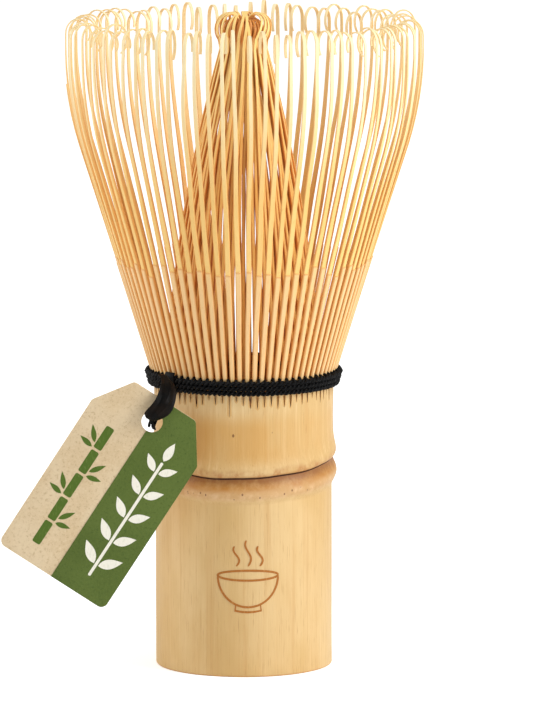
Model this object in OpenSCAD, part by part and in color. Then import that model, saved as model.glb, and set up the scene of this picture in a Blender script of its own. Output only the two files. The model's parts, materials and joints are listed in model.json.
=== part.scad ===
// Bamboo tea whisk: a hollow culm whose upper end is split into a ring of
// hooked outer tines and a cone of inner tines, bound with thread, with a
// card hang tag on a ribbon. Millimetres, +Z up, origin on the axis at the base.

/* [Handle] */
// Radius of the lower internode, which is the grip
culm_r = 14.9; // [14.4:0.1:15]
// Radius of the hollow inside the culm
bore_r = 11.3; // [10:0.1:11.6]
// Height of the widest part of the culm's node ring
node_z = 32.6; // [29:0.2:33]
// How far the node ring stands proud of the grip
node_swell = 0.85; // [0.4:0.05:0.95]
// How far the neck's lip stands proud of the neck
lip_swell = 0.55; // [0.2:0.05:0.7]

/* [Binding] */
// Height of the middle of the thread binding
binding_z = 49.3; // [49.2:0.1:49.6]
// Diameter of the binding thread
thread_d = 0.8; // [0.6:0.05:0.8]

/* [Outer tines] */
// Radius of the mouth, over the backs of the outer tines
mouth_r = 29.9; // [27:0.1:32]
// Height of the tops of the hooks
mouth_z = 110; // [106:0.5:112]
// Height where the outward lean starts to ease
bend_z = 88; // [80:1:92]
// Height of the shoulder where the skin has been shaved off
shave_z = 69; // [60:1:74]
// Half of a hook's reach, measured inwards from the mouth
hook_half_reach = 2.35; // [1.6:0.05:2.6]
// How far round a hook curls, in degrees
hook_sweep = 230; // [150:10:240]

/* [Inner tines] */
// Height of the top of the rosette
rosette_z = 111; // [108:0.5:112]
// Radius of the rosette
rosette_r = 4.9; // [4.6:0.1:5.4]

/* [Tag] */
// Width of the card
tag_w = 21; // [16:0.5:22]
// Length of the card
tag_len = 35.4; // [28:0.2:37]
// Thickness of the card
tag_t = 0.4; // [0.2:0.05:0.5]
// How far the card leans from hanging straight down, in degrees
tag_lean = 33; // [20:1:40]

/* [Hidden] */
$fn = 96;
splits = 16;
tines_per_split = 5;
tine_pitch = 360 / (splits * tines_per_split);
split_pitch = 360 / splits;

// Handle: the node's two edges, its diaphragm and the ring of slit roots
node_bottom_z = node_z - 2.4;
node_top_z = node_z + 2.7;
diaphragm_bottom_z = node_z - 1.1;
diaphragm_top_z = node_z + 1.4;
groove_r = culm_r + 0.1;
neck_r = culm_r + 0.2;
base_round = 0.5;
wall_top_z = binding_z - 2.5;
slit_bottom_z = binding_z - 3.7;
stub_top_z = binding_z + 1.25;
stub_foot_r = neck_r + 0.05;
stub_back_r = 13.95;
stub_lean = 0.27;
slit_w = 0.48;

// Binding: three rounds outside the outer tines and one behind them
round_pitch = thread_d + 0.02;
inner_round_r = 13.93;

// Outer tines: the backs lean out at a steady slope, then ease to upright
tine_root_z = stub_top_z + 0.12;
upright_z = mouth_z - 6;
root_face_r = 15.9;
skin_t = 0.13;
shoulder_h = 0.15;
root_t = 0.85;
shoulder_t = 0.7;
shaved_t = 0.52;
hook_t = 0.28;
root_w = 0.8;
belly_w = 1;
hook_w = 0.6;
hook_half_h = 2.6;
shaft_steps = 8;
hook_step = 23;
tine_slope = (mouth_r - root_face_r) / (bend_z - tine_root_z + (upright_z - bend_z) / 2);

// Inner tines: a cone that closes to a throat under the rosette
inner_foot_r = 13.15;
inner_foot_t = 0.65;
inner_foot_w = 0.62;
throat_r = 3.85;
throat_z = rosette_z - 6;
throat_t = 0.28;
rib_t = 0.22;
rib_w = 0.19;
cone_steps = 8;
cone_bow = 0.05;
rib_step = 20;

// Tag: the hole's centre is the point that the card swings about
tag_hole = [-15.3, -16.6, 43.9];
tag_hole_r = 1.8;
tag_hole_drop = 4.1;
tag_chamfer_w = 4.4;
tag_chamfer_l = 6.4;
tag_corner_r = 1.2;
green_t = 0.1;

// Ribbon: an oval loop from the binding through the tag's hole
ribbon_t = 0.3;
ribbon_w = 2.2;
ribbon_rise = 54.3;
loop_centre = [3.5, 0.6];
loop_half_length = 3.8;
loop_half_width = 2.2;
loop_tilt = 33;
loop_points = 32;
wrap_angle = 226.4;
wrap_span = 9;
wrap_h = 3;
wrap_r = 16.7;

function two_digits(k) = k < 10 ? str("0", k) : str(k);
function outer_name(k) = str("outer_tines_", two_digits(k));
function inner_name(k) = str("inner_tines_", two_digits(k));

// ---- Side outlines of the tines, as [radius, height] ----

// A strip of changing thickness along a path: out along one side, back along the other
function tangent(path, i) =
    path[min(i + 1, len(path) - 1)] - path[max(i - 1, 0)];
function side(path, thick, i, way) =
    let (t = tangent(path, i))
    path[i] + way * thick[i] / 2 * [t[1], -t[0]] / norm(t);
function strip_outline(path, thick) = concat(
    [for (i = [0 : len(path) - 1]) side(path, thick, i, 1)],
    [for (i = [len(path) - 1 : -1 : 0]) side(path, thick, i, -1)]
);
function mix(a, b, share) = a + (b - a) * share;

// Radius of an outer tine's back at height z, before the skin is shaved
function back_r(z) =
    root_face_r + tine_slope * (z <= bend_z
        ? z - tine_root_z
        : bend_z - tine_root_z + (z - bend_z) - pow(z - bend_z, 2) / (2 * (upright_z - bend_z)));
function outer_t(z) = z <= shave_z
    ? mix(root_t, shoulder_t, (z - tine_root_z) / (shave_z - tine_root_z))
    : mix(shaved_t, hook_t, (z - shave_z) / (upright_z - shave_z));
function outer_centre(z) = [back_r(z) - (z <= shave_z ? 0 : skin_t) - outer_t(z) / 2, z];

shaft_heights = concat(
    [tine_root_z, (tine_root_z + shave_z) / 2, shave_z],
    [for (i = [0 : shaft_steps]) mix(shave_z + shoulder_h, upright_z, i / shaft_steps)]
);
hook_centre = [mouth_r - skin_t - hook_half_reach, mouth_z - hook_half_h];
hook_angles = [for (a = [0 : hook_step : hook_sweep]) a];
outer_path = concat(
    [for (z = shaft_heights) outer_centre(z)],
    [for (a = hook_angles) hook_centre
        + [(hook_half_reach - hook_t / 2) * cos(a), (hook_half_h - hook_t / 2) * sin(a)]]
);
outer_thick = concat(
    [for (z = shaft_heights) outer_t(z)],
    [for (a = hook_angles) hook_t]
);

// The cone's side is straight at its foot and bends in towards the throat
function cone_r(share) =
    let (linear = cone_bow * (throat_z - wall_top_z))
    inner_foot_r - linear * share - (inner_foot_r - throat_r - linear) * share * share;
cone_path = [for (i = [0 : cone_steps])
    [cone_r(i / cone_steps), mix(wall_top_z, throat_z, i / cone_steps)]];
cone_thick = [for (i = [0 : cone_steps]) mix(inner_foot_t, throat_t, i / cone_steps)];

// A rib bulges from the throat and curls over to its tip: centre, half sizes, angles
function rib_path(centre, half, first, last) =
    [for (a = [first : rib_step : last]) centre + [half[0] * cos(a), half[1] * sin(a)]];
outer_rib_half = [rosette_r - 3, 2.6];
outer_rib_path = rib_path(
    [rosette_r - outer_rib_half[0] - rib_t / 2, rosette_z - outer_rib_half[1] - rib_t / 2],
    outer_rib_half, -50, 130
);
inner_rib_path = rib_path([2.75, rosette_z - 3.8], [1.35, 1.9], -40, 120);

// ---- Building blocks ----

// A tine: its side outline, cut by its front outline.
// front is a list of [height, width] from the foot to the tip.
module tine(path, thick, front) {
    top = len(front) - 1;
    intersection() {
        rotate([90, 0, 0])
            linear_extrude(height = 2 * front[0][1], center = true)
                polygon(strip_outline(path, thick));
        rotate([90, 0, 90])
            linear_extrude(height = mouth_r + 5)
                polygon(concat(
                    [for (i = [0 : top]) [front[i][1] / 2, front[i][0]]],
                    [for (i = [top : -1 : 0]) [-front[i][1] / 2, front[i][0]]]
                ));
    }
}

module turned(profile) {
    rotate_extrude()
        polygon(profile);
}

module thread_round(r, z) {
    color("black")
        rotate_extrude()
            translate([r, z])
                circle(d = thread_d, $fn = 24);
}

// Radius of the slit roots' outer face at height z
function stub_r(z) = stub_foot_r + stub_lean * max(z - (wall_top_z + 1), 0);

module outer_round(z) {
    thread_round(stub_r(z) + thread_d / 2 + 0.1, z);
}

// ---- Handle ----

module handle_grip() {
    color("burlywood")
        turned([
            [bore_r, 0],
            [culm_r - base_round, 0],
            for (a = [-60 : 30 : 0])
                [culm_r - base_round + base_round * cos(a), base_round + base_round * sin(a)],
            [culm_r, node_bottom_z],
            [bore_r, node_bottom_z]
        ]);
}

// The ring's swelling is half a cosine wave above and below its widest part
module culm_node() {
    color("peru")
        turned([
            [bore_r, node_bottom_z],
            for (a = [-180 : 30 : 0])
                [culm_r + node_swell * (1 + cos(a)) / 2, mix(node_z, node_bottom_z, -a / 180)],
            for (a = [30 : 30 : 150])
                [groove_r + (culm_r + node_swell - groove_r) * (1 + cos(a)) / 2,
                    mix(node_z, node_top_z, a / 180)],
            [groove_r, node_top_z],
            [bore_r, node_top_z],
            [bore_r, diaphragm_top_z],
            [0, diaphragm_top_z],
            [0, diaphragm_bottom_z],
            [bore_r, diaphragm_bottom_z]
        ]);
}

module handle_neck() {
    color("burlywood")
        difference() {
            turned([
                [bore_r, node_top_z],
                [groove_r, node_top_z],
                [neck_r + lip_swell * 0.8, node_top_z + 0.35],
                [neck_r + lip_swell, node_top_z + 0.9],
                [neck_r + lip_swell * 0.55, node_top_z + 2.6],
                [neck_r + lip_swell * 0.15, node_top_z + 5],
                [neck_r, node_top_z + 7.5],
                [stub_foot_r, wall_top_z + 1],
                [stub_r(stub_top_z), stub_top_z],
                [stub_back_r + 0.8, stub_top_z],
                [stub_back_r, wall_top_z],
                [12.6, wall_top_z],
                [bore_r, wall_top_z - 2.8]
            ]);
            for (i = [0 : splits * tines_per_split - 1])
                rotate([0, 0, i * tine_pitch])
                    slit();
        }
}

// A wedge-shaped slit between two outer tines, narrow at its foot
module slit() {
    translate([stub_back_r - 0.05, 0, 0])
        rotate([90, 0, 90])
            linear_extrude(height = 3)
                polygon([
                    [0, slit_bottom_z],
                    [slit_w / 2, stub_top_z + 0.1],
                    [-slit_w / 2, stub_top_z + 0.1]
                ]);
}

// ---- Tines ----

// The five tines of split k, the outer ones midway between the slits
module outer_tines(k) {
    front_widths = [
        [tine_root_z - 1, root_w],
        [shave_z, belly_w],
        [upright_z, hook_w],
        [mouth_z + 1, hook_w]
    ];
    color("goldenrod")
        for (j = [0 : tines_per_split - 1])
            rotate([0, 0, (k - 1) * split_pitch + (j + 0.5) * tine_pitch])
                tine(outer_path, outer_thick, front_widths);
}

// The five inner tines of split k stand behind the slits. Ribs alternate between
// the outside and the inside of the rosette.
module inner_tines(k) {
    color("darkgoldenrod")
        for (j = [0 : tines_per_split - 1])
            rotate([0, 0, ((k - 1) * tines_per_split + j + 1) * tine_pitch])
                inner_tine(((k - 1) * tines_per_split + j) % 2 == 0 ? outer_rib_path : inner_rib_path);
}

module inner_tine(rib) {
    tine(
        concat(cone_path, rib),
        concat(cone_thick, [for (p = rib) rib_t]),
        [[wall_top_z, inner_foot_w], [throat_z, rib_w], [rosette_z + 1, rib_w]]
    );
}

// ---- Binding ----

module binding_lower() {
    outer_round(binding_z - round_pitch);
}

module binding_middle() {
    outer_round(binding_z);
}

module binding_upper() {
    outer_round(binding_z + round_pitch);
}

module binding_inner() {
    thread_round(inner_round_r, binding_z);
}

// ---- Tag and ribbon ----

// Part of the ribbon that lies against the binding
module ribbon_wrap() {
    color("dimgray")
        rotate([0, 0, wrap_angle - wrap_span / 2])
            rotate_extrude(angle = wrap_span)
                translate([wrap_r, binding_z - wrap_h / 2])
                    square([ribbon_t, wrap_h]);
}

function loop_outline(grow) = [for (i = [0 : loop_points - 1])
    let (
        a = i * 360 / loop_points,
        along = (loop_half_length + grow) * cos(a),
        across = (loop_half_width + grow) * sin(a)
    )
    loop_centre + [
        along * cos(loop_tilt) + across * sin(loop_tilt),
        along * sin(loop_tilt) - across * cos(loop_tilt)
    ]];

// The loop's plane rises from the hole to the binding, so its strap lies across the card
module tag_ribbon() {
    color("dimgray")
        translate(tag_hole)
            rotate([0, -ribbon_rise, 0])
                linear_extrude(height = ribbon_w, center = true)
                    difference() {
                        polygon(loop_outline(ribbon_t / 2));
                        polygon(loop_outline(-ribbon_t / 2));
                    }
}

// The card's outline, its hole at the origin and its tail down
module tag_outline() {
    top = tag_hole_drop;
    foot = top - tag_len;
    half = tag_w / 2;
    difference() {
        polygon([
            [-half + tag_chamfer_w, top],
            [-half, top - tag_chamfer_l],
            for (a = [180 : 30 : 270])
                [-half + tag_corner_r * (1 + cos(a)), foot + tag_corner_r * (1 + sin(a))],
            for (a = [270 : 30 : 360])
                [half + tag_corner_r * (cos(a) - 1), foot + tag_corner_r * (1 + sin(a))],
            [half, top - tag_chamfer_l],
            [half - tag_chamfer_w, top]
        ]);
        circle(r = tag_hole_r, $fn = 48);
    }
}

// Stands the flat outline up, facing -Y, and leans it about the hole
module hang(front_y) {
    translate([tag_hole[0], tag_hole[1] + front_y, tag_hole[2]])
        rotate([0, tag_lean, 0])
            rotate([90, 0, 0])
                children();
}

module tag_card() {
    color("tan")
        hang(tag_t / 2)
            linear_extrude(height = tag_t)
                tag_outline();
}

// The green paper covers the half of the card that is nearer the handle
module tag_green_face() {
    color("olivedrab")
        hang(-tag_t / 2)
            linear_extrude(height = green_t)
                intersection() {
                    tag_outline();
                    translate([0, -tag_len])
                        square([tag_w, 2 * tag_len]);
                }
}

handle_grip();
culm_node();
handle_neck();
for (k = [1 : splits])
    outer_tines(k);
for (k = [1 : splits])
    inner_tines(k);
binding_lower();
binding_middle();
binding_upper();
binding_inner();
ribbon_wrap();
tag_ribbon();
tag_card();
tag_green_face();
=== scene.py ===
"""Looks of a bamboo tea whisk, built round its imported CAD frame.

Shapes are worked out in millimetres, with heights above the base and azimuths in degrees from +X,
and piece() turns them into metres. Colours are written as sRGB values from 0 to 255.
"""

import json
import math
import random

import bmesh
import bpy
import numpy as np
from mathutils import Matrix, Vector


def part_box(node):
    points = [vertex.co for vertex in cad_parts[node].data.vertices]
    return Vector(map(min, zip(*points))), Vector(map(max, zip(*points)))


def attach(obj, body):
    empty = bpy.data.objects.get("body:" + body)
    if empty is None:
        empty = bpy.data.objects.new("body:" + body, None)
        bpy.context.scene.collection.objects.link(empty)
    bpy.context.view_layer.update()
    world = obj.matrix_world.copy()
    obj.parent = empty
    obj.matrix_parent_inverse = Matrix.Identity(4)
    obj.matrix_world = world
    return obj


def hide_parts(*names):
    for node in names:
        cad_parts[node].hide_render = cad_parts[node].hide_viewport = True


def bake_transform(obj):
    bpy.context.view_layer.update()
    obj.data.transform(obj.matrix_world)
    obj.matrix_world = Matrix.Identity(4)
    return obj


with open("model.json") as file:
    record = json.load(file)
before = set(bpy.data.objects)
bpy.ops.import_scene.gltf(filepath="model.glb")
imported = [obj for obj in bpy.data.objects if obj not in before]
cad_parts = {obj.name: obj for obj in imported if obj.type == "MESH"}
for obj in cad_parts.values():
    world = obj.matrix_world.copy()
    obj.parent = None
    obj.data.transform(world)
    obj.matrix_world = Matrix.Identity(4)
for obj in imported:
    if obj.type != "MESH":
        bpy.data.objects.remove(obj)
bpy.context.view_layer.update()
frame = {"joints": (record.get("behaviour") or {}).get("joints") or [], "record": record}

MM = 0.001
SPLITS = 16
TINES_PER_SPLIT = 5
TINES = SPLITS * TINES_PER_SPLIT
TINE_PITCH = 360 / TINES
SPLIT_PITCH = 360 / SPLITS


# ---- Sizes, from the frame where it states them ----

def node_box(name):
    """Lowest and highest corner of a CAD node, in millimetres."""
    low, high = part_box(name)
    return low / MM, high / MM


def joint(name):
    return next(j for j in frame["joints"] if j["name"] == name)


def mount(name):
    return next(m for m in frame["record"]["mounts"] if m["name"] == name)


CULM_R = node_box("handle_grip")[1].x
BORE_R = mount("handle_bore")["dims"]["r_mm"]
NODE_FOOT_Z = node_box("culm_node")[0].z
GROOVE_Z = node_box("handle_neck")[0].z
NODE_R = node_box("culm_node")[1].x
NODE_Z = NODE_FOOT_Z + 2.4
GROOVE_R = CULM_R + 0.1
DIAPHRAGM_Z = (NODE_Z - 1.1, NODE_Z + 1.4)
NECK_R = CULM_R + 0.2
STUB_TOP_Z = node_box("handle_neck")[1].z
BINDING_Z = (node_box("binding_middle")[0].z + node_box("binding_middle")[1].z) / 2
WALL_TOP_Z = BINDING_Z - 2.5
MOUTH_R = 29.9
MOUTH_Z = 110
ROSETTE_Z = node_box("inner_tines_01")[1].z
TAG_HOLE = Vector(joint("tag_swing")["pos_m"]) / MM
TAG_LEAN = -joint("tag_swing")["range_deg"][0]


# ---- Mesh helpers ----

def tube(rings, closed=False):
    """Skins a list of rings, each a list of points. Caps the ends unless the rings close up."""
    size = len(rings[0])
    verts = [tuple(p) for ring in rings for p in ring]
    faces = []
    for i in range(len(rings) if closed else len(rings) - 1):
        a = i * size
        b = (i + 1) % len(rings) * size
        for j in range(size):
            k = (j + 1) % size
            faces.append((a + j, a + k, b + k, b + j))
    if not closed:
        faces.append(tuple(reversed(range(size))))
        faces.append(tuple(range(len(verts) - size, len(verts))))
    return verts, faces


def joined(parts):
    """Several (vertices, faces) as one."""
    verts, faces = [], []
    for more_verts, more_faces in parts:
        start = len(verts)
        verts += more_verts
        faces += [tuple(start + i for i in face) for face in more_faces]
    return verts, faces


def piece(name, shape, material, body=None, replaced=(), attributes=None, crease=35):
    """A mesh object from (vertices, faces) in millimetres, with its material and body, hiding the CAD parts
    it replaces.
    """
    mesh = bpy.data.meshes.new(name)
    mesh.from_pydata([Vector(v) * MM for v in shape[0]], [], shape[1])
    for key, values in (attributes or {}).items():
        mesh.attributes.new(key, "FLOAT", "POINT").data.foreach_set("value", np.array(values, np.float32))
    obj = bpy.data.objects.new(name, mesh)
    bpy.context.scene.collection.objects.link(obj)
    return dressed(obj, material, body, replaced, crease)


def dressed(obj, material, body, replaced=(), crease=35):
    """Cleans obj's mesh, gives it its material and body, and hides the CAD parts it replaces."""
    tidy = bmesh.new()
    tidy.from_mesh(obj.data)
    bmesh.ops.remove_doubles(tidy, verts=tidy.verts, dist=1e-7)
    bmesh.ops.recalc_face_normals(tidy, faces=tidy.faces)
    tidy.to_mesh(obj.data)
    tidy.free()
    obj.data.shade_smooth()
    obj.data.set_sharp_from_angle(angle=math.radians(crease))
    obj.data.materials.clear()
    obj.data.materials.append(material)
    if replaced:
        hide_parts(*replaced)
    if body:
        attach(obj, body)
    return obj


def around(radius, azimuth, z=0.0):
    """The point at that radius, azimuth in degrees and height."""
    a = math.radians(azimuth)
    return np.array([radius * math.cos(a), radius * math.sin(a), z])


def mix(a, b, share):
    return a + (b - a) * share


def smooth(low, high, x):
    """0 below low, 1 above high, and an S-curve between them."""
    t = min(max((x - low) / (high - low), 0), 1)
    return t * t * (3 - 2 * t)


# ---- Materials ----

def srgb(*levels):
    """A linear colour from red, green and blue levels of 0 to 255."""
    shares = [level / 255 for level in levels]
    linear = [c / 12.92 if c <= 0.04045 else ((c + 0.055) / 1.055) ** 2.4 for c in shares]
    return (*linear, 1.0)


class Finish:
    """A Principled material with short ways to add nodes."""

    def __init__(self, name, **sockets):
        self.material = bpy.data.materials.new(name)
        self.material.use_nodes = True
        self.tree = self.material.node_tree
        self.shader = self.tree.nodes["Principled BSDF"]
        self.place = self.add("ShaderNodeTexCoord").outputs["Object"]
        for socket, value in sockets.items():
            self.shader.inputs[socket.replace("_", " ")].default_value = value

    def add(self, kind, inputs=None, **settings):
        node = self.tree.nodes.new(kind)
        for key, value in settings.items():
            setattr(node, key, value)
        for key, value in (inputs or {}).items():
            if isinstance(value, bpy.types.NodeSocket):
                self.tree.links.new(value, node.inputs[key])
            else:
                node.inputs[key].default_value = value
        return node

    def attribute(self, name):
        return self.add("ShaderNodeAttribute", attribute_name=name).outputs["Fac"]

    def stretched(self, x, y, z):
        """Object coordinates scaled along each axis, so that a noise on them has that grain."""
        inputs = {0: self.place, 1: (x, y, z)}
        return self.add("ShaderNodeVectorMath", inputs, operation="MULTIPLY").outputs[0]

    def noise(self, vector, scale=1.0, detail=3.0, roughness=0.55):
        inputs = {"Vector": vector, "Scale": scale, "Detail": detail, "Roughness": roughness}
        return self.add("ShaderNodeTexNoise", inputs).outputs["Fac"]

    def remap(self, value, low, high, to_low=0.0, to_high=1.0):
        inputs = {"Value": value, 1: low, 2: high, 3: to_low, 4: to_high}
        return self.add("ShaderNodeMapRange", inputs, interpolation_type="SMOOTHSTEP").outputs[0]

    def math(self, operation, a, b=0.0):
        return self.add("ShaderNodeMath", {0: a, 1: b}, operation=operation).outputs[0]

    def blend(self, share, a, b):
        """Colour a turned into b by share, either of which may be a socket or a colour."""
        inputs = {"Factor": share, 6: a, 7: b}
        return self.add("ShaderNodeMix", inputs, data_type="RGBA").outputs[2]

    def band(self, value, centre, half_width, softness):
        """1 where value is within half_width of centre, fading out over softness."""
        off = self.math("ABSOLUTE", self.math("SUBTRACT", value, centre))
        return self.remap(off, half_width, half_width + softness, 1.0, 0.0)

    def specks(self, vector, size, share_kept):
        """Small dots, one in some of the cells of vector's grid."""
        cells = self.add("ShaderNodeTexVoronoi", {"Vector": vector, "Scale": 1.0})
        dot = self.remap(cells.outputs["Distance"], size * 0.6, size, 1.0, 0.0)
        chance = self.add("ShaderNodeSeparateColor", {0: cells.outputs["Color"]}).outputs[0]
        kept = self.remap(chance, 1 - share_kept, 1.02 - share_kept)
        return self.math("MULTIPLY", dot, kept)

    def done(self, colour, roughness=None, height=None, depth=0.0001, strength=1.0):
        """Links colour, roughness and bump to the shader."""
        self.tree.links.new(colour, self.shader.inputs["Base Color"])
        if roughness is not None:
            self.tree.links.new(roughness, self.shader.inputs["Roughness"])
        if height is not None:
            bump = self.add("ShaderNodeBump", {"Height": height, "Distance": depth, "Strength": strength})
            self.tree.links.new(bump.outputs[0], self.shader.inputs["Normal"])
        return self.material


def bamboo_culm():
    """Sanded culm: upright fibres, mottling, and stains with painted shade that follow the node's groove.
    """
    f = Finish("bamboo_culm", Specular_IOR_Level=0.4, Coat_Weight=0.1, Coat_Roughness=0.4)
    ring = f.attribute("ring")   # height above the groove, in millimetres
    crown, under_crown, groove, lip_middle, neck_middle = -1.7, -3.1, 0.0, 0.5, 5.5
    fibre = f.noise(f.stretched(4200, 4200, 55), detail=4.0, roughness=0.65)
    streak = f.noise(f.stretched(900, 900, 26), detail=4.0, roughness=0.6)
    cloud = f.noise(f.stretched(85, 85, 40), detail=3.0)
    colour = f.blend(f.remap(cloud, 0.34, 0.66), srgb(208, 171, 110), srgb(220, 187, 132))
    colour = f.blend(f.remap(streak, 0.5, 0.75, 0.0, 0.4), colour, srgb(200, 152, 88))
    colour = f.blend(f.remap(fibre, 0.54, 0.8, 0.0, 0.45), colour, srgb(190, 138, 78))
    colour = f.blend(f.remap(fibre, 0.46, 0.2, 0.0, 0.3), colour, srgb(244, 216, 164))
    dash = f.noise(f.stretched(8000, 8000, 300), detail=2.0)
    colour = f.blend(f.remap(dash, 0.6, 0.74, 0.0, 0.5), colour, srgb(168, 114, 58))
    # pale fibres on the neck, where the skin has been scraped
    scraped = f.noise(f.stretched(1700, 1700, 34), detail=4.0)
    pale = f.math("MULTIPLY", f.remap(scraped, 0.5, 0.72, 0.0, 0.42), f.remap(ring, groove, 2.0))
    colour = f.blend(pale, colour, srgb(238, 210, 158))
    # a golden patch half way up the neck
    golden = f.math("MULTIPLY", f.band(ring, neck_middle, 1.4, 3.6), f.remap(cloud, 0.34, 0.58, 0.15, 0.75))
    colour = f.blend(golden, colour, srgb(206, 154, 78))
    # the node band, browner towards the groove with uneven stains and painted shade in the groove's crease
    mottle = f.noise(f.stretched(620, 620, 520), detail=4.0, roughness=0.7)
    band = f.math("MULTIPLY", f.band(ring, crown, 1.3, 1.3), f.remap(mottle, 0.3, 0.7, 0.6, 1.0))
    colour = f.blend(band, colour, srgb(182, 122, 50))
    worn = f.math("MULTIPLY", f.band(ring, under_crown, 0.3, 1.2), f.remap(mottle, 0.3, 0.8, 0.15, 0.75))
    colour = f.blend(worn, colour, srgb(236, 206, 160))
    # painted shade in the crease under the groove, with uneven stain: darker brown just under the groove
    stain_and_groove_shade = f.math("MULTIPLY", f.remap(ring, -1.9, -0.1), f.remap(ring, -0.02, 0.1, 1.0, 0.0))
    stain_and_groove_shade = f.math("MULTIPLY", stain_and_groove_shade, f.remap(mottle, 0.28, 0.62, 0.55, 1.0))
    colour = f.blend(stain_and_groove_shade, colour, srgb(132, 78, 26))
    lip = f.math("MULTIPLY", f.band(ring, lip_middle, 0.25, 1.2), f.remap(mottle, 0.42, 0.7, 0.1, 0.75))
    colour = f.blend(lip, colour, srgb(178, 120, 64))
    line = f.math("MULTIPLY", f.band(ring, groove, 0.12, 0.12), f.remap(mottle, 0.2, 0.6, 0.75, 1.0))
    colour = f.blend(line, colour, srgb(84, 44, 20))
    # dark specks: a row under the node's swelling and a few on the neck
    close_specks = f.specks(f.stretched(1300, 1300, 900), 0.26, 0.5)
    row = f.math("MULTIPLY", close_specks, f.band(ring, under_crown + 0.1, 0.35, 0.5))
    rare_specks = f.specks(f.stretched(620, 620, 420), 0.15, 0.09)
    loose = f.math("MULTIPLY", rare_specks, f.remap(ring, 1.0, 3.0))
    colour = f.blend(f.math("MULTIPLY", f.math("MAXIMUM", row, loose), 0.8), colour, srgb(104, 60, 26))
    # the bored, sawn and split faces
    colour = f.blend(f.attribute("inside"), colour, srgb(204, 138, 70))
    rough = f.remap(fibre, 0.2, 0.8, 0.42, 0.6)
    height = f.math("ADD", fibre, f.math("MULTIPLY", mottle, f.band(ring, -1.5, 1.0, 2.0)))
    return f.done(colour, rough, height, depth=0.00008, strength=0.6)


def bamboo_tine(name, foot, top, skin):
    """Shaved tines: one tone each, long fibres, darker cut edges with painted shade on the sides between
    tines, and the paler skin left on the backs.

    foot and top are the (light, dark, cut edge and painted shade) colours at the binding and at the mouth.
    """
    f = Finish(name, Specular_IOR_Level=0.4)
    fibre = f.noise(f.stretched(4200, 4200, 60), detail=3.0)
    patch = f.noise(f.stretched(260, 260, 60), detail=2.0)
    height = f.add("ShaderNodeSeparateXYZ", {0: f.place}).outputs[2]
    up = f.remap(height, 0.08, 0.11)
    light, dark, edge = (f.blend(up, srgb(*low), srgb(*high)) for low, high in zip(foot, top))
    colour = f.blend(f.attribute("tone"), light, dark)
    colour = f.blend(f.remap(patch, 0.42, 0.75, 0.0, 0.4), colour, dark)
    peel = f.math("MULTIPLY", f.attribute("skin"), f.remap(patch, 0.25, 0.6, 0.65, 1.0))
    colour = f.blend(peel, colour, srgb(*skin))
    # painted shade: the tines' sides and inner faces, and the ribs hidden in the rosette, take the browner
    # cut-edge colour
    colour = f.blend(f.math("MULTIPLY", f.attribute("edge"), 0.85), colour, edge)
    colour = f.blend(f.remap(fibre, 0.54, 0.8, 0.0, 0.35), colour, edge)
    rough = f.remap(fibre, 0.2, 0.8, 0.38, 0.6)
    return f.done(colour, rough, fibre, depth=0.00006, strength=0.5)


def binding_thread():
    """Black cotton: fine fibres round the plies, with a dull sheen on their crowns."""
    f = Finish("binding_thread", Sheen_Weight=0.01, Sheen_Roughness=0.3, Specular_IOR_Level=0.15)
    f.shader.inputs["Sheen Tint"].default_value = srgb(190, 186, 184)
    fuzz = f.noise(f.stretched(9000, 9000, 9000), detail=4.0, roughness=0.7)
    colour = f.blend(f.remap(fuzz, 0.35, 0.75), srgb(3, 3, 4), srgb(12, 11, 12))
    return f.done(colour, f.remap(fuzz, 0.2, 0.8, 0.34, 0.7), fuzz, depth=0.00008, strength=0.8)


def black_ribbon():
    """Satin ribbon: very fine ribs across it and brown-black folds."""
    f = Finish("black_ribbon", Sheen_Weight=0.01, Sheen_Roughness=0.3, Specular_IOR_Level=0.1)
    f.shader.inputs["Sheen Tint"].default_value = srgb(170, 140, 112)
    weave = f.noise(f.stretched(5200, 5200, 900), detail=3.0)
    fold = f.noise(f.stretched(420, 420, 420), detail=2.0)
    colour = f.blend(f.remap(fold, 0.3, 0.7), srgb(3, 3, 3), srgb(22, 15, 10))
    height = f.math("ADD", f.math("MULTIPLY", weave, 0.4), fold)
    return f.done(colour, f.remap(weave, 0.2, 0.8, 0.42, 0.6), height, depth=0.00018, strength=0.6)


def card(name, main, pale, fleck, fleck_share, roughness):
    """Uncoated card: fibres, fine flecks and a slightly uneven tone."""
    f = Finish(name, Specular_IOR_Level=0.25)
    pulp = f.noise(f.stretched(2300, 2300, 2300), detail=4.0, roughness=0.75)
    cloud = f.noise(f.stretched(120, 120, 120), detail=2.0)
    colour = f.blend(f.remap(cloud, 0.35, 0.65, 0.0, 0.6), srgb(*main), srgb(*pale))
    colour = f.blend(f.remap(pulp, 0.52, 0.72, 0.0, 0.8), colour, srgb(*fleck))
    colour = f.blend(f.remap(pulp, 0.46, 0.3, 0.0, 0.7), colour, srgb(*pale))
    dots = f.specks(f.stretched(3600, 3600, 3600), 0.26, fleck_share)
    colour = f.blend(f.math("MULTIPLY", dots, 0.4), colour, srgb(*fleck))
    return f.done(colour, f.remap(pulp, 0.2, 0.8, roughness - 0.1, roughness + 0.08), pulp, depth=0.00005)


def ink(name, main, worn):
    """Printing ink or scorching with small gaps where the surface shows through."""
    f = Finish(name, Specular_IOR_Level=0.25)
    grain = f.noise(f.stretched(3200, 3200, 900), detail=4.0, roughness=0.65)
    colour = f.blend(f.remap(grain, 0.5, 0.75, 0.0, 0.7), srgb(*main), srgb(*worn))
    return f.done(colour, f.remap(grain, 0.2, 0.8, 0.5, 0.7), grain, depth=0.00003)


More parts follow.
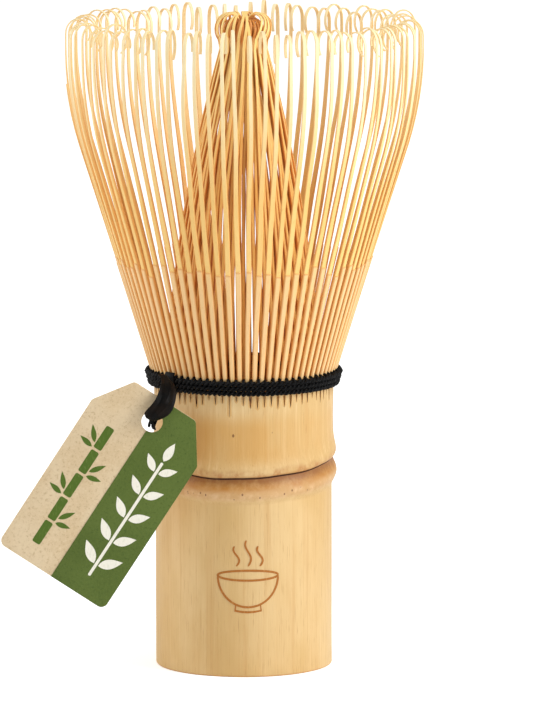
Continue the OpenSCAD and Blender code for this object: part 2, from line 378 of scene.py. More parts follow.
def studio_floor():
    """White paper that reads as white to the edge of the view, without lighting the whisk from below."""
    f = Finish("studio_floor", Roughness=0.9, Specular_IOR_Level=0.1, Emission_Color=(1, 1, 1, 1))
    tone = f.noise(f.stretched(3, 3, 3), detail=1.0)
    seen = f.add("ShaderNodeLightPath").outputs["Is Camera Ray"]
    f.tree.links.new(f.math("MULTIPLY", seen, 0.42), f.shader.inputs["Emission Strength"])
    return f.done(f.blend(tone, srgb(250, 250, 250), srgb(255, 255, 255)))


CULM = bamboo_culm()
OUTER = bamboo_tine("bamboo_outer_tine",
                    foot=((250, 210, 132), (241, 193, 111), (222, 152, 70)),
                    top=((253, 240, 198), (250, 224, 168), (242, 204, 134)),
                    skin=(242, 200, 141))
INNER = bamboo_tine("bamboo_inner_tine",
                    foot=((252, 206, 120), (240, 182, 92), (218, 122, 48)),
                    top=((254, 226, 146), (250, 210, 126), (226, 148, 68)),
                    skin=(240, 190, 108))
THREAD = binding_thread()
RIBBON = black_ribbon()
KRAFT = card("kraft_card", (214, 190, 152), (228, 208, 174), (184, 158, 120), 0.12, 0.85)
GREEN = card("green_paper", (84, 102, 40), (94, 112, 48), (66, 84, 32), 0.12, 0.6)
GREEN_INK = ink("green_ink", (78, 104, 30), (112, 130, 66))
CREAM_INK = ink("cream_ink", (240, 236, 222), (206, 210, 186))
SCORCH = ink("scorch", (170, 106, 46), (200, 144, 80))


# ---- Culm: grip, node and neck are turned shapes, a little out of round ----

CULM_SEGMENTS = 240
WAVE_FRONT = 262   # azimuth at which the groove dips lowest


def groove_wave(azimuth):
    """How far the groove line rises or dips, in mm: it isn't quite square to the culm."""
    a = math.radians(azimuth - WAVE_FRONT)
    tilt = -1.1 * math.cos(a) - 0.35 * math.cos(2 * a)
    ripple = 0.06 * math.sin(5 * a) + 0.04 * math.sin(11 * a + 1)
    return tilt + ripple


def out_of_round(a, z):
    """How far the wall stands out from a true circle at angle a, in radians, and height z."""
    return 0.05 * math.cos(2 * a + 0.7) + 0.03 * math.cos(5 * a + z / 9) + 0.02 * math.sin(11 * a - z / 5)


def turned(profile):
    """A closed profile of (radius, height, inside) spun round the axis, and its attributes.

    inside is 1 on faces that were bored or sawn and 0 on the culm's own surface.
    """
    rings = []
    for s in range(CULM_SEGMENTS):
        azimuth = s * 360 / CULM_SEGMENTS
        ring = []
        for radius, z, _ in profile:
            near_groove = smooth(NODE_FOOT_Z - 4, NODE_Z, z) * (1 - smooth(GROOVE_Z + 2, GROOVE_Z + 8, z))
            grown = radius * (1 + out_of_round(math.radians(azimuth), z) / CULM_R)
            ring.append(around(grown, azimuth, z + near_groove * groove_wave(azimuth)))
        rings.append(ring)
    marks = {
        "ring": [z - GROOVE_Z for _, z, _ in profile] * CULM_SEGMENTS,
        "inside": [inside for _, _, inside in profile] * CULM_SEGMENTS,
    }
    return tube(rings, closed=True), marks


def upright(radius_at, low, high, steps, inside=0.0):
    """Profile points up a wall whose radius is a function of height."""
    heights = [mix(low, high, i / steps) for i in range(steps + 1)]
    return [(radius_at(z), z, inside) for z in heights]


def node_r(z):
    """The node swells from the grip to its crown, and falls to the groove."""
    if z <= NODE_Z:
        away = (NODE_Z - z) / (NODE_Z - NODE_FOOT_Z)
        return CULM_R + (NODE_R - CULM_R) * (1 + math.cos(math.pi * away)) / 2
    away = (z - NODE_Z) / (GROOVE_Z - NODE_Z)
    return GROOVE_R + (NODE_R - GROOVE_R) * (1 + math.cos(math.pi * away)) / 2


def neck_r(z):
    """The lip over the groove falls away to a straight neck, which flares under the binding."""
    lip = (z - GROOVE_Z) / 0.95
    flare = 0.27 * max(z - WALL_TOP_Z - 1, 0)
    return NECK_R + 0.55 * lip * math.exp(1 - lip) + flare + 0.05 * smooth(GROOVE_Z + 8, WALL_TOP_Z, z)


def make_culm():
    rounding = 0.3
    worn_edge = 0.4
    edge = [(CULM_R - rounding + rounding * math.sin(math.radians(a)),
             rounding - rounding * math.cos(math.radians(a)), worn_edge) for a in range(0, 90, 15)]
    grip = (
        [(BORE_R, 0.25, 1.0), (BORE_R + 0.25, 0.0, 1.0), (mix(BORE_R, CULM_R, 0.5), 0.03, 1.0)]
        + edge
        + upright(lambda z: CULM_R, rounding, NODE_FOOT_Z, 30)
        + [(BORE_R, NODE_FOOT_Z, 1.0)]
        + [(BORE_R, mix(NODE_FOOT_Z, 0.25, i / 8), 1.0) for i in range(1, 8)]
    )
    groove_floor_r = GROOVE_R - 0.12
    under, over = DIAPHRAGM_Z
    fillet = 0.5
    node = (
        upright(node_r, NODE_FOOT_Z, GROOVE_Z - 0.12, 36)
        + [(groove_floor_r, GROOVE_Z - 0.04, 0.0), (groove_floor_r, GROOVE_Z, 0.0), (BORE_R, GROOVE_Z, 1.0)]
        + [(BORE_R, over + fillet, 1.0), (BORE_R - fillet, over, 1.0), (0, over - 0.25, 1.0)]
        + [(0, under + 0.1, 1.0), (BORE_R - fillet, under, 1.0), (BORE_R, under - fillet, 1.0)]
        + [(BORE_R, NODE_FOOT_Z, 1.0)]
    )
    stub_back_r = 13.95
    neck = (
        [(groove_floor_r, GROOVE_Z, 0.0), (groove_floor_r + 0.02, GROOVE_Z + 0.06, 0.0)]
        + upright(neck_r, GROOVE_Z + 0.12, GROOVE_Z + 3, 16)
        + upright(neck_r, GROOVE_Z + 3.4, STUB_TOP_Z, 30)
        + [(stub_back_r + 0.8, STUB_TOP_Z, 1.0), (stub_back_r, WALL_TOP_Z, 1.0), (12.6, WALL_TOP_Z, 1.0)]
        + [(BORE_R, WALL_TOP_Z - 2.8, 1.0), (BORE_R, GROOVE_Z + 3, 1.0), (BORE_R, GROOVE_Z, 1.0)]
    )
    for name, profile in (("handle_grip", grip), ("culm_node", node)):
        shape, marks = turned(profile)
        piece(name + "_bamboo", shape, CULM, "whisk", [name], marks)
    shape, marks = turned(neck)
    necked = piece("handle_neck_bamboo", shape, CULM, attributes=marks)
    cut(necked, slits())
    dressed(necked, CULM, "whisk", ["handle_neck"])


SLIT_FLOOR_R = 14.75   # the rest of each slit is closed by the pinch of the binding


def slits():
    """Wedges between the outer tines' roots, of uneven depth, one running on as a hairline crack."""
    draw = random.Random(7)
    wedges = []
    cracked = 58       # the slit that runs on
    hairline = 0.012   # half the width at a slit's very foot
    past_wall_r = 18
    for i in range(TINES):
        foot = WALL_TOP_Z - 0.3 + draw.uniform(-0.7, 0.7)
        half = draw.uniform(0.2, 0.28)
        shape = [
            (hairline, foot - 0.1),
            (0.4 * half, foot + 0.5),
            (0.85 * half, foot + 1.5),
            (half, foot + 3),
            (half, STUB_TOP_Z + 1),
        ]
        if i == cracked:
            shape = [(hairline, foot - 2.6), (0.03, foot - 1.4)] + shape[1:]
        azimuth = i * TINE_PITCH
        side = around(1, azimuth + 90)
        rings = []
        for w, z in shape:
            back = around(SLIT_FLOOR_R, azimuth, z)
            front = around(past_wall_r, azimuth, z)
            rings.append([back - w * side, front - w * side, front + w * side, back + w * side])
        wedges.append(tube(rings))
    return joined(wedges)


def cut(obj, shape):
    """Takes shape away from obj, and marks the fresh faces as inside."""
    mesh = bpy.data.meshes.new("cutter")
    mesh.from_pydata([Vector(v) * MM for v in shape[0]], [], shape[1])
    for key, value in (("ring", 9.0), ("inside", 0.9)):
        mesh.attributes.new(key, "FLOAT", "POINT").data.foreach_set("value", [value] * len(shape[0]))
    cutter = bpy.data.objects.new("cutter", mesh)
    bpy.context.scene.collection.objects.link(cutter)
    modifier = obj.modifiers.new("slits", "BOOLEAN")
    modifier.operation = "DIFFERENCE"
    modifier.solver = "EXACT"
    modifier.object = cutter
    bpy.context.view_layer.update()
    result = bpy.data.meshes.new_from_object(obj.evaluated_get(bpy.context.evaluated_depsgraph_get()))
    obj.modifiers.clear()
    obj.data = result
    bpy.data.objects.remove(cutter)


# ---- Tines ----

def slat(width, thick):
    """Cross-section of a tine as (sideways, outwards), the corners taken off."""
    a, b = width / 2, thick / 2
    c = 0.24 * min(width, thick)
    first_half = [(a - c, b), (c - a, b), (-a, b - c), (-a, c - b)]
    return first_half + [(-across, -out) for across, out in first_half]


# How much of the skin, and of the brown of a cut edge, each corner of a slat has; the sides and inner face
# take that brown as painted shade of the gaps between tines
SKIN_OF_CORNER = (1.0, 1.0, 0.7, 0.0, 0.0, 0.0, 0.0, 0.7)
CUT_EDGE_AND_SHADE_OF_CORNER = (0.0, 0.0, 0.8, 1.0, 0.3, 0.3, 1.0, 0.8)


def swept_tine(azimuths, path, sideways, widths, thicks):
    """A tine along path, a list of (radius, height), each point at its own azimuth and pushed sideways."""
    path = np.array(path)
    slopes = np.gradient(path, axis=0)
    slopes /= np.linalg.norm(slopes, axis=1)[:, None]
    rings = []
    for i, (radius, z) in enumerate(path):
        out = around(1, azimuths[i])
        side = around(1, azimuths[i] + 90)
        back = slopes[i][1] * out - slopes[i][0] * np.array([0, 0, 1])
        centre = around(radius, azimuths[i], z) + sideways[i] * side
        rings.append([centre + a * side + b * back for a, b in slat(widths[i], thicks[i])])
    return tube(rings)


# Outer tines: the backs lean out at a steady slope, then ease to upright and curl into a hook
BEND_Z = 88
UPRIGHT_Z = MOUTH_Z - 6
ROOT_Z = STUB_TOP_Z + 0.12
ROOT_R = 15.9
SLOPE = (MOUTH_R - ROOT_R) / (BEND_Z - ROOT_Z + (UPRIGHT_Z - BEND_Z) / 2)
SKIN_T = 0.13
HOOK_REACH = 2.35
HOOK_HEIGHT = 2.6
SHOULDER_Z = 69.4   # where the shaving starts, below it the skin is left on
ROOT_W = 0.8
BELLY_W = 1.0
HOOK_W = 0.62
ROOT_T = 0.85
BELLY_T = 0.7
SHAVED_T = 0.54
UPRIGHT_T = 0.26
HOOK_T = 0.23
STRAY = (9, 0)   # split and tine of the one that has lost its hook
STRAY_TOP_Z = 101


def back_r(z):
    over = max(z - BEND_Z, 0)
    return ROOT_R + SLOPE * (z - ROOT_Z - over ** 2 / (2 * (UPRIGHT_Z - BEND_Z)))


def outer_tine(split, j, draw):
    """One outer tine and its attributes. Every one is bent, curled and toned a little differently."""
    azimuth = (split - 1) * SPLIT_PITCH + (j + 0.5) * TINE_PITCH
    middle = (TINES_PER_SPLIT - 1) / 2
    shoulder = SHOULDER_Z - 0.3 * math.sin(math.radians(azimuth)) + draw.gauss(0, 0.55)
    lean = draw.gauss(0, 0.35)
    sway = draw.gauss(0, 0.22) - 0.12 * (j - middle)
    wiggle = (draw.uniform(0.04, 0.13), draw.uniform(18, 34), draw.uniform(0, 6.3))
    rise = draw.gauss(0, 0.3) - 0.5 * math.sin(math.radians(azimuth))
    reach = HOOK_REACH * draw.uniform(0.86, 1.06)
    tall = HOOK_HEIGHT * draw.uniform(0.88, 1.04)
    sweep = draw.uniform(200, 250)
    roll = draw.gauss(0, 0.07)
    girth = draw.uniform(0.92, 1.06)
    stray = (split, j) == STRAY

    start = STUB_TOP_Z - 0.5
    heights = [start] + [52 + 3 * i for i in range(5)] + [shoulder - 0.3, shoulder, shoulder + 0.12]
    heights += [mix(shoulder + 2.4, UPRIGHT_Z + rise, i / 13) for i in range(14)]
    path, widths, thicks, skins, edge_and_shade, sideways = [], [], [], [], [], []

    def drift(z):
        up = max(z - ROOT_Z, 0) / (MOUTH_Z - ROOT_Z)
        wave = wiggle[0] * math.sin(z * 2 * math.pi / wiggle[1] + wiggle[2]) * smooth(0, 0.3, up)
        return sway * up ** 1.6 + wave

    for z in heights:
        if stray and z > STRAY_TOP_Z:
            break
        up = max(z - ROOT_Z, 0) / (MOUTH_Z - ROOT_Z)
        skinned = z <= shoulder
        if skinned:
            thick = mix(ROOT_T, BELLY_T, up / 0.3)
            width = mix(ROOT_W, BELLY_W, (z - ROOT_Z) / (shoulder - ROOT_Z))
        else:
            above = (z - shoulder) / (UPRIGHT_Z - shoulder)
            thick = mix(SHAVED_T, UPRIGHT_T, above)
            width = mix(BELLY_W * 0.95, HOOK_W, above)
        outside = back_r(z) + lean * up ** 2 + (1.1 * up ** 2 if stray else 0)
        path.append((outside - (0 if skinned else SKIN_T) - thick / 2, z))
        widths.append(girth * width)
        thicks.append(thick)
        skins.append(1.0 if skinned else 0.0)
        edge_and_shade += [0.75] * len(CUT_EDGE_AND_SHADE_OF_CORNER) if z == shoulder else CUT_EDGE_AND_SHADE_OF_CORNER
        sideways.append(drift(z))
    if not stray:
        hook_z = MOUTH_Z - HOOK_HEIGHT + rise
        edge_r = path[-1][0]
        bend = reach - 0.14
        curl = [(edge_r, mix(path[-1][1], hook_z, 0.5))]
        for a in range(0, int(sweep) + 1, 15):
            t = math.radians(a)
            curl.append((edge_r - bend + bend * math.cos(t), hook_z + tall * math.sin(t)))
        for i, (radius, z) in enumerate(curl):
            taper = mix(1.0, 0.8, i / len(curl))
            path.append((radius, z))
            widths.append(girth * HOOK_W * taper)
            thicks.append(HOOK_T * taper)
            skins.append(0.0)
            edge_and_shade += CUT_EDGE_AND_SHADE_OF_CORNER
            sideways.append(drift(hook_z) + roll * (edge_r - radius))
    shape = swept_tine([azimuth] * len(path), path, sideways, widths, thicks)
    tone = min(max(draw.gauss(0.45, 0.28), 0), 1)
    return shape, {
        "tone": [tone] * len(shape[0]),
        "skin": [s * corner for s in skins for corner in SKIN_OF_CORNER],
        "edge": edge_and_shade,
    }


def gathered(tines):
    """The shapes of several tines as one, and their attributes in the same order."""
    shapes, marks = zip(*tines)
    return joined(shapes), {key: sum((m[key] for m in marks), []) for key in marks[0]}


def make_outer_tines():
    draw = random.Random(21)
    for split in range(1, SPLITS + 1):
        shape, marks = gathered(outer_tine(split, j, draw) for j in range(TINES_PER_SPLIT))
        node = f"outer_tines_{split:02d}"
        group = piece(node + "_bamboo", shape, OUTER, replaced=[node], attributes=marks)
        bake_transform(group)


# Inner tines: a cone that closes to a throat in three layers. The outer layer's ribs curl over into
# the rosette, and the other two end inside it.
THROAT_Z = ROSETTE_Z - 6
THROAT_R_OF_LAYER = (3.95, 3.3, 2.7)
INNER_FOOT_R = 13.15
RIB_T = 0.2


def inner_tine(index, draw):
    """One inner tine and its attributes, from its foot to the end of its curled rib."""
    azimuth = (index + 1) * TINE_PITCH
    layer = index % 3
    throat_r = THROAT_R_OF_LAYER[layer]
    swirl = 16 + draw.gauss(0, 1.6)
    uneven = draw.gauss(0, 0.14)
    wobble = (draw.uniform(0.02, 0.12), draw.uniform(16, 30), draw.uniform(0, 6.3))
    path, azimuths, widths, thicks, sideways = [], [], [], [], []

    def put(radius, z, share, width, thick):
        path.append((radius, z))
        azimuths.append(azimuth + swirl * smooth(0.55, 1.35, share))
        widths.append(width)
        thicks.append(thick)
        wave = wobble[0] * math.sin(z * 2 * math.pi / wobble[1] + wobble[2])
        sideways.append(wave * smooth(0, 0.3, share))

    steps = 20
    for i in range(steps + 1):
        share = i / steps
        linear = 0.05 * (THROAT_Z - WALL_TOP_Z)
        radius = INNER_FOOT_R - linear * share - (INNER_FOOT_R - throat_r - linear) * share ** 2
        put(radius + uneven * math.sin(math.pi * share), mix(WALL_TOP_Z, THROAT_Z, share), share,
            mix(0.62, 0.52, share), mix(0.65, 0.28, share))
    if layer == 0:
        half = (draw.uniform(1.7, 2.15), draw.uniform(2.3, 2.7))
        last = 165
        centre = (2.7, ROSETTE_Z - 0.12 - half[1])
        skew = draw.gauss(7, 7)
        rib_w = (0.54, 0.34)
    else:
        half = (draw.uniform(0.9, 1.4), draw.uniform(1.5, 2.1))
        last = 130
        centre = (throat_r - 1.2, ROSETTE_Z - 0.5 - 0.6 * layer - half[1])
        skew = 0
        rib_w = (0.48, 0.4)
    first = -42
    rib_points = 15
    for i in range(rib_points):
        along = i / (rib_points - 1)
        a = math.radians(mix(first, last, along))
        put(centre[0] + half[0] * math.cos(a), centre[1] + half[1] * math.sin(a), 1.05 + 0.03 * i,
            mix(*rib_w, along), RIB_T)
        azimuths[-1] += skew * smooth(0, 8, i)
    shape = swept_tine(azimuths, path, sideways, widths, thicks)
    # each tine has a random tone, made darker for the deeper layers as painted shade inside the rosette
    tone = min(max(draw.gauss(0.35 + 0.25 * layer, 0.25), 0), 1)
    # painted shade: the ribs hidden in the rosette are as brown as a cut edge all round
    shaded_rib_points = rib_points if layer else 0
    return shape, {
        "tone": [tone] * len(shape[0]),
        "skin": [0.0] * len(shape[0]),
        "edge": list(CUT_EDGE_AND_SHADE_OF_CORNER) * (len(path) - shaded_rib_points) + [1.0] * (shaded_rib_points * len(CUT_EDGE_AND_SHADE_OF_CORNER)),
    }


def make_inner_tines():
    draw = random.Random(5)
    for split in range(1, SPLITS + 1):
        first = (split - 1) * TINES_PER_SPLIT
        shape, marks = gathered(inner_tine(first + j, draw) for j in range(TINES_PER_SPLIT))
        node = f"inner_tines_{split:02d}"
        piece(node + "_bamboo", shape, INNER, "whisk", [node], marks)


# ---- Binding ----

def twisted_round(radius, z, in_out, up_down, phase):
    """A closed round of twisted thread that dips in and out at the tines' pitch."""
    plies = 2
    turns = 61
    ply_r = 0.3
    cord_r = 0.2
    steps = 1040
    sides = 6
    strands = []
    for ply in range(plies):
        rings = []
        for i in range(steps):
            turn = i / steps
            azimuth = 360 * turn
            weave = math.cos(TINES * math.radians(azimuth) + phase)
            twist = 2 * math.pi * (turn * turns + ply / plies)
            r = radius - in_out * weave + cord_r * math.cos(twist)
            height = z + up_down * weave + cord_r * math.sin(twist)
            ring = []
            for s in range(sides):
                b = 2 * math.pi * s / sides
                ring.append(around(r + ply_r * math.cos(b), azimuth, height + ply_r * math.sin(b)))
            rings.append(ring)
        strands.append(tube(rings, closed=True))
    return joined(strands)


def gap_loops():
    """Short loops of thread that rise into the gaps between the tines, over the topmost round."""
    draw = random.Random(3)
    loop_r, loop_half_r, loop_half_h, thread_r = 15.75, 0.62, 0.5, 0.24
    steps = 8
    loops = []
    for i in range(TINES):
        azimuth = i * TINE_PITCH + draw.uniform(-0.35, 0.35)
        top = STUB_TOP_Z + 0.2 + draw.uniform(-0.1, 0.14)
        side = around(1, azimuth + 90)
        rings = []
        for step in range(steps + 1):
            a = math.radians(mix(-20, 200, step / steps))
            height = top - loop_half_h + loop_half_h * math.sin(a)
            centre = around(loop_r + loop_half_r * math.cos(a), azimuth, height)
            out = around(1, azimuth) * math.cos(a) + np.array([0, 0, 1]) * math.sin(a)
            rings.append([centre + thread_r * (math.cos(b) * out + math.sin(b) * side)
                          for b in (2 * math.pi * s / 8 for s in range(8))])
        loops.append(tube(rings))
    return joined(loops)


def make_binding():
    # each round's dip in and out, dip up and down, and phase: neighbouring rounds dip by turns
    rounds = {
        "binding_lower": (0.05, 0.02, math.pi),
        "binding_middle": (0.05, 0.02, 0.0),
        "binding_upper": (0.05, 0.02, math.pi),
        "binding_inner": (-0.04, 0.04, 0.0),
    }
    for name, weave in rounds.items():
        low, high = node_box(name)
        radius = high.x - (high.z - low.z) / 2
        shape = twisted_round(radius, (low.z + high.z) / 2, *weave)
        if name == "binding_upper":
            shape = joined([shape, gap_loops()])
        piece(name + "_thread", shape, THREAD, "whisk", [name], crease=60)


# ---- Tag: outlines in millimetres about the hole, with the tag's length upright ----

TAG_W = 21
TAG_LEN = 35.4
TAG_HOLE_R = 1.8
TAG_TOP = 4.1
TAG_CHAMFER = (4.4, 6.4)   # along the top and down the side
TAG_FOOT = TAG_TOP - TAG_LEN
CARD_T = 0.4
PAPER_T = 0.1
PRINT_T = 0.02


def rounded(points, radii):
    """A closed outline whose corners are arcs of those radii."""
    outline = []
    count = len(points)
    for i, here in enumerate(points):
        corner = Vector(here)
        to_last = (Vector(points[i - 1]) - corner).normalized()
        to_next = (Vector(points[(i + 1) % count]) - corner).normalized()
        half = to_last.angle(to_next) / 2
        radius = radii[i]
        if radius == 0:
            outline.append(corner)
            continue
        centre = corner + (to_last + to_next).normalized() * (radius / math.sin(half))
        first = corner + to_last * (radius / math.tan(half))
        last = corner + to_next * (radius / math.tan(half))
        for step in range(7):
            toward = first.lerp(last, step / 6) - centre
            outline.append(centre + toward.normalized() * radius)
    return outline


def circle(centre, radius, count=48):
    return [Vector((centre[0] + radius * math.cos(2 * math.pi * i / count),
                    centre[1] + radius * math.sin(2 * math.pi * i / count))) for i in range(count)]


def flat_shape(name, loops, back_y, thickness, material, bevel=0.0, replaced=()):
    """A flat piece of card or print in the tag's plane, from outlines and holes, in front of back_y."""
    curve = bpy.data.curves.new(name, "CURVE")
    curve.dimensions = "2D"
    curve.fill_mode = "BOTH"
    curve.extrude = thickness / 2 - bevel
    curve.bevel_depth = bevel
    curve.bevel_resolution = 2
    curve.offset = -bevel
    for loop in loops:
        spline = curve.splines.new("POLY")
        spline.points.add(len(loop) - 1)
        spline.use_cyclic_u = True
        for point, place in zip(spline.points, loop):
            point.co = (place[0], place[1], 0, 1)
    drawn = bpy.data.objects.new(name, curve)
    bpy.context.scene.collection.objects.link(drawn)
    bpy.context.view_layer.update()
    mesh = bpy.data.meshes.new_from_object(drawn.evaluated_get(bpy.context.evaluated_depsgraph_get()))
    bpy.data.objects.remove(drawn)
    hang = (
        Matrix.Translation(TAG_HOLE + Vector((0, back_y, 0)))
        @ Matrix.Rotation(math.radians(TAG_LEAN), 4, "Y")
        @ Matrix.Rotation(math.radians(90), 4, "X")
        @ Matrix.Translation((0, 0, thickness / 2))
    )
    mesh.transform(Matrix.Scale(MM, 4) @ hang)
    obj = bpy.data.objects.new(name, mesh)
    bpy.context.scene.collection.objects.link(obj)
    return dressed(obj, material, "tag", replaced)


def leaf(base, angle, length, width):
    """Outline of a pointed leaf that grows from base."""
    along = Vector((math.cos(math.radians(angle)), math.sin(math.radians(angle))))
    across = Vector((-along.y, along.x))
    outline = []
    for way in (1, -1):
        for i in range(9):
            t = i / 9 if way == 1 else 1 - i / 9
            bulge = way * width / 2 * math.sin(math.pi * t ** 0.8)
            outline.append(Vector(base) + along * (t * length) + across * bulge)
    return outline


def bar(x, low, high, width, radius):
    """Outline of an upright bar with rounded corners."""
    half = width / 2
    return rounded([(x - half, low), (x + half, low), (x + half, high), (x - half, high)], [radius] * 4)


def bamboo_motif(x):
    """A stem of five joints along the tag, with leaves at two of them."""
    joints = 5
    length = 4.3
    gap = 0.45
    foot = TAG_FOOT + 3.4
    shapes = []
    for i in range(joints):
        low = foot + i * (length + gap)
        shapes.append(bar(x, low, low + length, 1.5, 0.3))
    for level, way in ((1, 1), (2, -1), (3, 1), (4, -1)):
        z = foot + level * (length + gap) - gap / 2
        for tilt, size, lift in ((12, 2.7, 0.1), (52, 3.1, 0.95)):
            angle = tilt if way == 1 else 180 - tilt
            shapes.append(leaf((x + way * 0.95, z + lift), angle, size, 0.9))
    return shapes


def sprig_motif(x):
    """A tea sprig along the tag: a thin stem with pairs of leaves and one at its tip."""
    low = TAG_FOOT + 3.6
    high = TAG_TOP - 9.0
    shapes = [bar(x, low, high, 0.5, 0.2)]
    pairs = 5
    for i in range(pairs):
        z = mix(low + 2.2, high - 2.0, i / (pairs - 1))
        size = mix(4.2, 3.3, i / (pairs - 1))
        for way in (1, -1):
            shapes.append(leaf((x + way * 0.42, z), 90 - way * 50, size, size * 0.4))
    shapes.append(leaf((x, high + 0.3), 90, 3.6, 1.5))
    return shapes


def make_tag():
    half = TAG_W / 2
    top_half = half - TAG_CHAMFER[0]
    shoulder = TAG_TOP - TAG_CHAMFER[1]
    top_radius, foot_radius = 0.9, 1.2
    right_side = [(half, TAG_FOOT), (half, shoulder), (top_half, TAG_TOP)]
    right_radii = [foot_radius, top_radius, top_radius]
    outline = rounded(
        [(-top_half, TAG_TOP), (-half, shoulder), (-half, TAG_FOOT)] + right_side,
        right_radii[::-1] + right_radii,
    )
    hole = circle((0, 0), TAG_HOLE_R)
    flat_shape("tag_card_kraft", [outline, hole], CARD_T / 2, CARD_T, KRAFT,
               bevel=0.06, replaced=["tag_card"])
    # the paper covers the right half, round the hole
    right = rounded([(0, TAG_FOOT)] + right_side + [(0, TAG_TOP)], [0] + right_radii + [0])
    bite = [Vector((TAG_HOLE_R * math.sin(math.radians(a)), TAG_HOLE_R * math.cos(math.radians(a))))
            for a in range(0, 181, 10)]
    card_face = -CARD_T / 2
    paper_face = card_face - PAPER_T
    flat_shape("tag_paper_green", [right + bite], card_face, PAPER_T, GREEN,
               bevel=0.02, replaced=["tag_green_face"])
    quarter = TAG_W / 4
    flat_shape("tag_print_bamboo", bamboo_motif(-quarter), card_face, PRINT_T, GREEN_INK)
    flat_shape("tag_print_sprig", sprig_motif(quarter), paper_face, PRINT_T, CREAM_INK)


# ---- Ribbon ----

RIBBON_RISE = 54.3         # degrees that the ribbon rises at, from the tag's hole towards the binding
LOOP_CENTRE = (3.5, 0.6)   # up the ribbon and along +Y from the tag's hole
LOOP_HALF = (3.8, 2.2)     # the oval loop's half length and half thickness
LOOP_TILT = 33


def ribbon_frame():
    """The directions up the ribbon and across its width. The loop lies in the plane of the first and +Y."""
    rise = math.radians(RIBBON_RISE)
    return np.array([math.cos(rise), 0, math.sin(rise)]), np.array([-math.sin(rise), 0, math.cos(rise)])


def ribbon_strand(first, last, width_at, offset_at, bow, ruck, sag=0.0):
    """Part of the loop, from first to last degrees round it: a bowed strip with rolled edges.

    width_at and offset_at are functions of the share of the way along, and sag lets it dip near its start.
    """
    up, across = ribbon_frame()
    tilt = math.radians(LOOP_TILT)
    steps = 48
    points = 9
    rings = []
    for i in range(steps + 1):
        share = i / steps
        a = math.radians(mix(first, last, share))
        along, over = LOOP_HALF[0] * math.cos(a), LOOP_HALF[1] * math.sin(a)
        dip = sag * smooth(0, 0.14, share) * (1 - smooth(0.24, 0.6, share))
        u = LOOP_CENTRE[0] + along * math.cos(tilt) + over * math.sin(tilt) - dip
        v = LOOP_CENTRE[1] + along * math.sin(tilt) - over * math.cos(tilt)
        d_along, d_over = -LOOP_HALF[0] * math.sin(a), LOOP_HALF[1] * math.cos(a)
        du = d_along * math.cos(tilt) + d_over * math.sin(tilt)
        dv = d_along * math.sin(tilt) - d_over * math.cos(tilt)
        outward = np.array([-dv, du]) / math.hypot(du, dv)
        if outward @ (np.array([u, v]) - np.array(LOOP_CENTRE)) < 0:
            outward = -outward
        normal = outward[0] * up + outward[1] * np.array([0, 1, 0])
        centre = np.array(TAG_HOLE) + u * up + v * np.array([0, 1, 0]) + offset_at(share) * across
        half = width_at(share) / 2
        ring = []
        for face in (1, -1):
            for p in range(points):
                s = mix(-1, 1, p / (points - 1)) * face
                crown = bow * half * (1 - s * s) + ruck * half * math.sin(5 * s + 4 * share)
                thin = 0.12 * math.sqrt(max(1 - s ** 6, 0.05))
                ring.append(centre + half * s * across + (crown + face * thin) * normal)
        rings.append(ring)
    return tube(rings)


def make_ribbon():
    # the front strand is a broad leaf-shaped fold that lies over the hole; two thin ones run up behind
    def leaf_width(share):
        opened = 2.1 + 1.35 * math.sin(math.pi * share ** 1.2)
        return opened * math.sqrt(1 - 0.6 * smooth(0.93, 1, share))

    def leaf_offset(share):
        return 2.6 * max(1 - share / 0.75, 0) ** 1.7 + 0.8 * smooth(0.55, 0.95, share)

    def back_offset(low, high):
        # starts inside the fold's tip and runs from low to high
        return lambda share: mix(low, high, share) + (0.6 - low) * (1 - smooth(0, 0.12, share))

    strands = [
        ribbon_strand(5, 178, leaf_width, leaf_offset, bow=0.3, ruck=0.17),
        ribbon_strand(172, 365, lambda share: 0.3, back_offset(-0.2, 1.3), bow=0.1, ruck=0.05, sag=1.0),
        ribbon_strand(172, 365, lambda share: 0.8, back_offset(-1.1, 0.9), bow=0.1, ruck=0.05, sag=0.8),
    ]
    piece("tag_ribbon_satin", joined(strands), RIBBON, "ribbon", ["tag_ribbon"])
    low, high = node_box("ribbon_wrap")
    middle = Vector(((low.x + high.x) / 2, (low.y + high.y) / 2))
    azimuth = math.degrees(math.atan2(middle.y, middle.x)) - 5
    wrap_z = (low.z + high.z) / 2 + 0.25
    half_tall = 1.85
    half_wide = 1.25
    half_thick = 0.12
    binding_r = 16.35
    lean = 0.162
    bulge = 0.5
    rings = []
    steps = 20
    points = 9
    for i in range(steps + 1):
        t = mix(-1, 1, i / steps)
        z = wrap_z + half_tall * t
        radius = binding_r + lean * (z - BINDING_Z) + bulge * (1 - t ** 4)
        half = half_wide - 0.25 * abs(t) ** 3
        ring = []
        for face in (1, -1):
            for p in range(points):
                s = mix(-1, 1, p / (points - 1)) * face
                ring.append(around(radius + (face - 1) * half_thick - 0.22 * s * s, azimuth, z)
                            + half * s * around(1, azimuth + 90))
        rings.append(ring)
    piece("ribbon_wrap_satin", tube(rings), RIBBON, "whisk", ["ribbon_wrap"])


# ---- Mark scorched on the grip: a plain tea bowl with steam ----

MARK_Z = 17.0
MARK_AZIMUTH = -87


def on_grip(x, z, proud):
    """A point of the flat drawing wrapped onto the grip."""
    a = math.radians(MARK_AZIMUTH)
    uneven = 0.05 * math.cos(2 * a + 0.7) + 0.06
    return around(CULM_R + uneven + proud, MARK_AZIMUTH + math.degrees(x / CULM_R), MARK_Z + z)


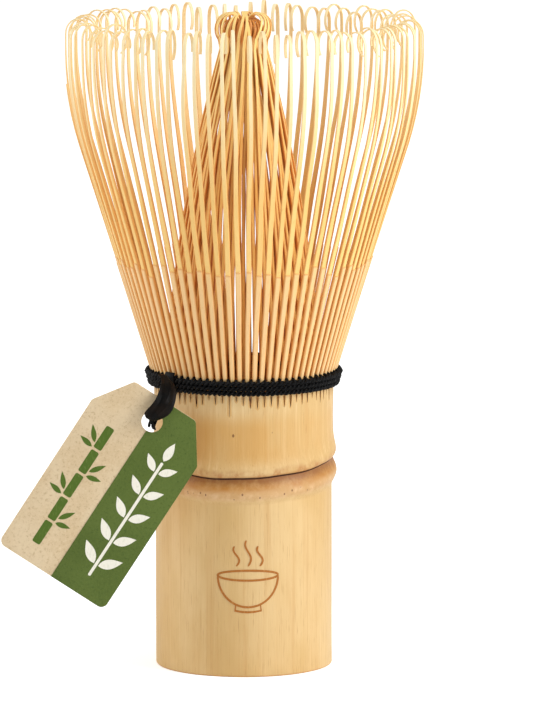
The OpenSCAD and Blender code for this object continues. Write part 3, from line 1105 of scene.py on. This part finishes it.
def stroke(points, width):
    """A thin line of scorched bamboo along points, narrowed at its ends."""
    proud, sunk = 0.015, -0.25
    rings = []
    points = [np.array(p, float) for p in points]
    for i, here in enumerate(points):
        way = points[min(i + 1, len(points) - 1)] - points[max(i - 1, 0)]
        way /= np.linalg.norm(way)
        across = np.array([-way[1], way[0]])
        half = width / 2 * (0.55 if i in (0, len(points) - 1) else 1.0)
        left, right = here + half * across, here - half * across
        corners = ((left, proud), (right, proud), (right, sunk), (left, sunk))
        rings.append([on_grip(*side, height) for side, height in corners])
    return tube(rings)


def arc(centre, half_x, half_z, first, last, steps=28):
    """Points along an ellipse, from first to last degrees."""
    angles = [math.radians(mix(first, last, i / steps)) for i in range(steps + 1)]
    return [(centre[0] + half_x * math.cos(a), centre[1] + half_z * math.sin(a)) for a in angles]


def make_mark():
    line = 0.36
    bowl_r = 5.2
    brim = (0, 0.4)
    foot = [(-2.1, -4.7), (-2.2, -5.6), (-1.0, -5.8), (0, -5.85), (1.0, -5.8), (2.2, -5.6), (2.1, -4.7)]
    strokes = [
        stroke(arc(brim, bowl_r, 0.85, 0, 360, 48), line),
        stroke(arc(brim, bowl_r, 5.4, 180, 360), line),
        stroke(foot, line),
    ]
    steam_foot = 2.0
    for x, tall in ((-2.0, 3.4), (0.0, 4.4), (2.0, 3.4)):
        shares = [i / 14 for i in range(15)]
        wisp = [(x + 0.5 * math.sin(t * 5.6), steam_foot + tall * t) for t in shares]
        strokes.append(stroke(wisp, line * 0.9))
    piece("grip_mark", joined(strokes), SCORCH, "whisk")


# ---- Floor, light and camera ----

def make_floor():
    bpy.ops.mesh.primitive_plane_add(size=12, location=(0, 0, 0))
    floor = bpy.context.object
    floor.name = "studio_floor"
    floor.data.materials.append(studio_floor())


def softbox(name, azimuth, elevation, distance, size, power):
    """A square light that faces the middle of the whisk, in metres, degrees and watts."""
    light = bpy.data.lights.new(name, "AREA")
    light.shape = "SQUARE"
    light.size = size
    light.energy = power
    lamp = bpy.data.objects.new(name, light)
    target = Vector((0, 0, 0.055))
    a, e = math.radians(azimuth), math.radians(elevation)
    away = Vector((math.cos(a) * math.cos(e), math.sin(a) * math.cos(e), math.sin(e)))
    lamp.location = target + distance * away
    lamp.rotation_euler = away.to_track_quat("Z", "Y").to_euler()
    bpy.context.scene.collection.objects.link(lamp)


def make_world():
    """A white backdrop that lights the object less than it shows behind it."""
    world = bpy.data.worlds.new("studio")
    bpy.context.scene.world = world
    world.use_nodes = True
    tree = world.node_tree
    background = tree.nodes["Background"]
    background.inputs["Color"].default_value = (1, 1, 1, 1)
    seen = tree.nodes.new("ShaderNodeLightPath").outputs["Is Camera Ray"]
    level = tree.nodes.new("ShaderNodeMapRange")
    level.inputs[3].default_value = 0.56
    level.inputs[4].default_value = 1.05
    tree.links.new(seen, level.inputs[0])
    tree.links.new(level.outputs[0], background.inputs["Strength"])


def make_camera():
    """Looks slightly down on the whisk from the front, from far enough to flatten it."""
    aim = Vector((0.0053, 0, 0.0523))
    distance = 1.5
    tilt = math.radians(8.45)
    data = bpy.data.cameras.new("camera")
    data.sensor_width = 36
    data.lens = 451
    data.clip_start = 0.01
    data.clip_end = 50
    camera = bpy.data.objects.new("camera", data)
    camera.location = aim + Vector((0, -distance, distance * math.tan(tilt)))
    camera.rotation_euler = (camera.location - aim).to_track_quat("Z", "Y").to_euler()
    bpy.context.scene.collection.objects.link(camera)
    bpy.context.scene.camera = camera


make_camera()
make_world()
make_floor()
softbox("key", azimuth=-25, elevation=28, distance=0.9, size=0.5, power=6.2)
softbox("rim", azimuth=172, elevation=22, distance=1.1, size=0.7, power=5.4)
bpy.context.scene.view_settings.view_transform = "Standard"

make_culm()
make_outer_tines()
make_inner_tines()
make_binding()
make_tag()
make_ribbon()
make_mark()
